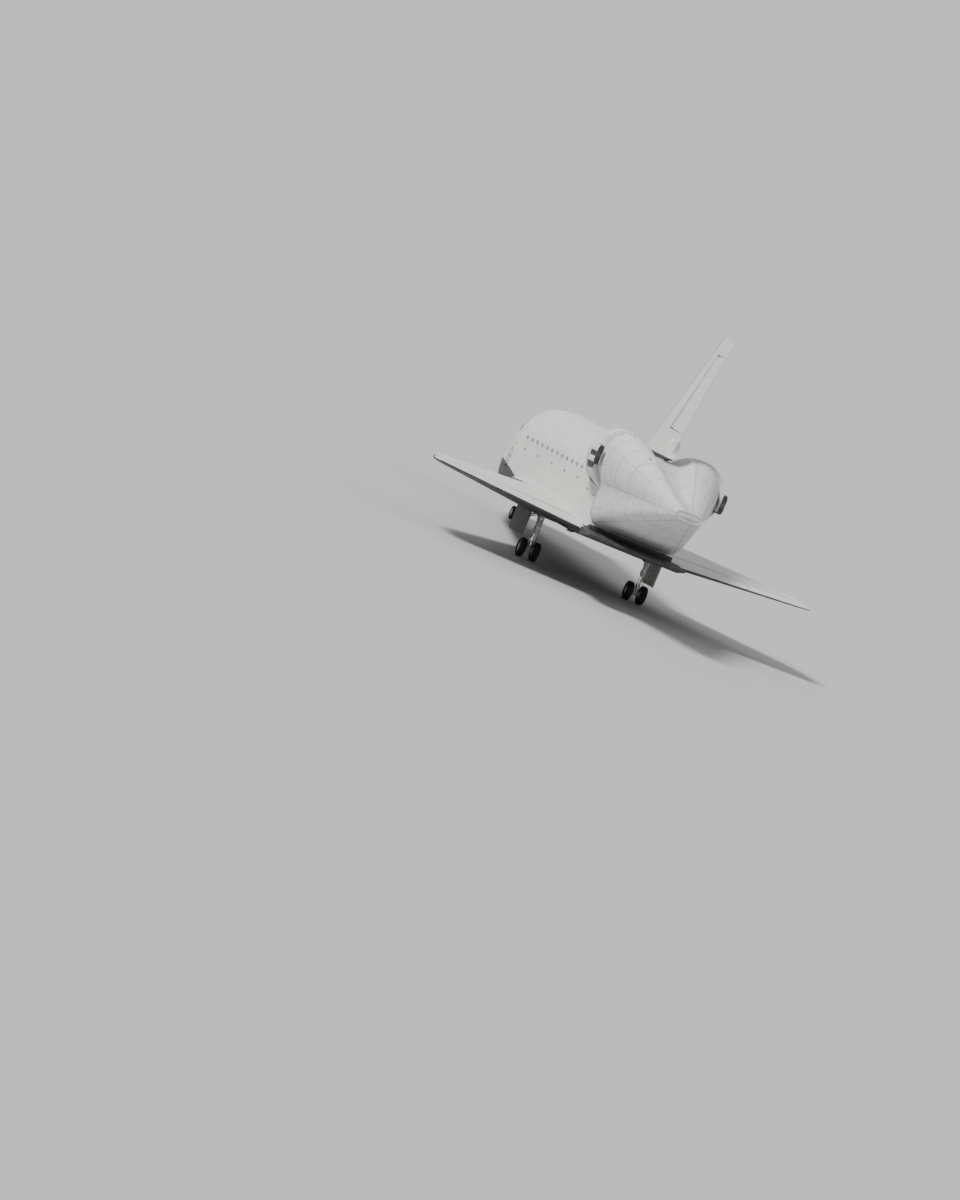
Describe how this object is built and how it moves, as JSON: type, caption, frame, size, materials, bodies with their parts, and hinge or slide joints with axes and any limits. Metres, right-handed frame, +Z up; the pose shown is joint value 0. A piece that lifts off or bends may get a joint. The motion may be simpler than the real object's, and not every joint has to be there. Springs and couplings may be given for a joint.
{
  "type": "space shuttle orbiter scale model",
  "caption": "Winged space shuttle orbiter parked on its landing gear, with moving control surfaces, cargo doors, hatch and wheels, and a long tail cone over its engines.",
  "frame": {"origin": "on the ground under the middle of the length and width", "axes": "+X to the nose, +Y to the left wing, +Z up"},
  "size_m": [21.5578, 11.8958, 8.6632],
  "materials": {
    "white_blanket": "matt white quilted insulation over alloy skin",
    "black_tile": "matt black heat tiles over alloy skin",
    "carbon": "dark grey carbon, satin",
    "cone_skin": "light grey painted alloy",
    "engine_block": "bare alloy",
    "fitting": "bare steel",
    "gear_white": "gloss white paint",
    "tyre": "black tyre",
    "radiator": "silvered, bright",
    "window_glass": "dark thick panes",
    "cabin_trim": "grey"
  },
  "bodies": {
    "airframe": {"forward_fuselage": "white_blanket", "mid_fuselage": "white_blanket", "aft_fuselage": "white_blanket", "fin": "white_blanket", "drag_chute_housing": "white_blanket", "wing_left": "white_blanket", "wing_right": "white_blanket", "oms_pod_left": "white_blanket", "oms_pod_right": "white_blanket", "main_door_left": "black_tile", "main_door_right": "black_tile", "nose_door_left": "black_tile", "nose_door_right": "black_tile", "nose_cap": "carbon", "wing_edge_left": "carbon", "wing_edge_right": "carbon", "tail_cone": "cone_skin", "main_engine_top": "engine_block", "main_engine_left": "engine_block", "main_engine_right": "engine_block", "forward_attach_fitting": "fitting", "aft_attach_fitting_left": "fitting", "aft_attach_fitting_right": "fitting", "nose_leg": "gear_white", "nose_brace": "gear_white", "main_leg_left": "gear_white", "main_leg_right": "gear_white", "main_brace_left": "gear_white", "main_brace_right": "gear_white", "cabin_glazing": "window_glass", "flight_deck": "cabin_trim", "crew_seat_left": "cabin_trim", "crew_seat_right": "cabin_trim"},
    "elevon_inner_left": {"elevon_inner_left": "white_blanket"},
    "elevon_inner_right": {"elevon_inner_right": "white_blanket"},
    "elevon_outer_left": {"elevon_outer_left": "white_blanket"},
    "elevon_outer_right": {"elevon_outer_right": "white_blanket"},
    "body_flap": {"body_flap": "black_tile"},
    "rudder_shaft": {"rudder_shaft": "fitting"},
    "rudder_left": {"rudder_left": "white_blanket"},
    "rudder_right": {"rudder_right": "white_blanket"},
    "payload_door_left": {"payload_door_left": "white_blanket", "radiator_left": "radiator"},
    "payload_door_right": {"payload_door_right": "white_blanket", "radiator_right": "radiator"},
    "crew_hatch": {"crew_hatch": "white_blanket"},
    "nose_steering": {"nose_piston": "gear_white"},
    "nose_wheels": {"nose_wheels": "gear_white", "nose_tyre_left": "tyre", "nose_tyre_right": "tyre"},
    "main_left_wheels": {"main_left_wheels": "gear_white", "main_left_tyre_left": "tyre", "main_left_tyre_right": "tyre"},
    "main_right_wheels": {"main_right_wheels": "gear_white", "main_right_tyre_left": "tyre", "main_right_tyre_right": "tyre"}
  },
  "joints": [
    {"name": "elevon_inner_left_hinge", "type": "hinge", "parent": "airframe", "child": "elevon_inner_left", "pos_m": [-3.81321, 2.7305, 1.82844], "axis": [0.0033, 0.9985, 0.0542], "range_deg": [-20, 35]},
    {"name": "elevon_inner_right_hinge", "type": "hinge", "parent": "airframe", "child": "elevon_inner_right", "pos_m": [-3.81321, -2.7305, 1.82844], "axis": [-0.0033, 0.9985, -0.0542], "range_deg": [-20, 35]},
    {"name": "elevon_outer_left_hinge", "type": "hinge", "parent": "airframe", "child": "elevon_outer_left", "pos_m": [-3.80583, 4.953, 1.94898], "axis": [0.0033, 0.9985, 0.0542], "range_deg": [-20, 35]},
    {"name": "elevon_outer_right_hinge", "type": "hinge", "parent": "airframe", "child": "elevon_outer_right", "pos_m": [-3.80583, -4.953, 1.94898], "axis": [-0.0033, 0.9985, -0.0542], "range_deg": [-20, 35]},
    {"name": "body_flap_hinge", "type": "hinge", "parent": "airframe", "child": "body_flap", "pos_m": [-5.66042, 0, 1.79129], "axis": [0, 1, 0], "range_deg": [-22.5, 11.7]},
    {"name": "rudder_turn", "type": "hinge", "parent": "airframe", "child": "rudder_shaft", "pos_m": [-5.72891, 0, 6.77046], "axis": [-0.5191, 0, 0.8547], "range_deg": [-27.1, 27.1]},
    {"name": "rudder_left_brake", "type": "hinge", "parent": "rudder_shaft", "child": "rudder_left", "pos_m": [-5.72891, 0, 6.77046], "axis": [0.5191, 0, -0.8547], "range_deg": [0, 49.3]},
    {"name": "rudder_right_brake", "type": "hinge", "parent": "rudder_shaft", "child": "rudder_right", "pos_m": [-5.72891, 0, 6.77046], "axis": [-0.5191, 0, 0.8547], "range_deg": [0, 49.3]},
    {"name": "payload_door_left_hinge", "type": "hinge", "parent": "airframe", "child": "payload_door_left", "pos_m": [1.8921, 1.35255, 2.95164], "axis": [-0.9981, 0, 0.061], "range_deg": [0, 175.5]},
    {"name": "payload_door_right_hinge", "type": "hinge", "parent": "airframe", "child": "payload_door_right", "pos_m": [1.8921, -1.35255, 2.95164], "axis": [0.9981, 0, -0.061], "range_deg": [0, 175.5]},
    {"name": "crew_hatch_hinge", "type": "hinge", "parent": "airframe", "child": "crew_hatch", "pos_m": [7.38238, 1.33985, 1.59921], "axis": [-0.9981, 0, 0.061], "range_deg": [0, 90]},
    {"name": "nose_steering", "type": "hinge", "parent": "airframe", "child": "nose_steering", "pos_m": [9.12922, 0, 0.2032], "axis": [-0.0042, 0, 1], "range_deg": [-9, 9]},
    {"name": "nose_wheels_spin", "type": "hinge", "parent": "nose_steering", "child": "nose_wheels", "pos_m": [9.12922, 0, 0.2032], "axis": [0, 1, 0], "continuous": true},
    {"name": "main_left_wheels_spin", "type": "hinge", "parent": "airframe", "child": "main_left_wheels", "pos_m": [-1.17215, 1.7272, 0.28258], "axis": [0, 1, 0], "continuous": true},
    {"name": "main_right_wheels_spin", "type": "hinge", "parent": "airframe", "child": "main_right_wheels", "pos_m": [-1.17215, -1.7272, 0.28258], "axis": [0, 1, 0], "continuous": true}
  ]
}
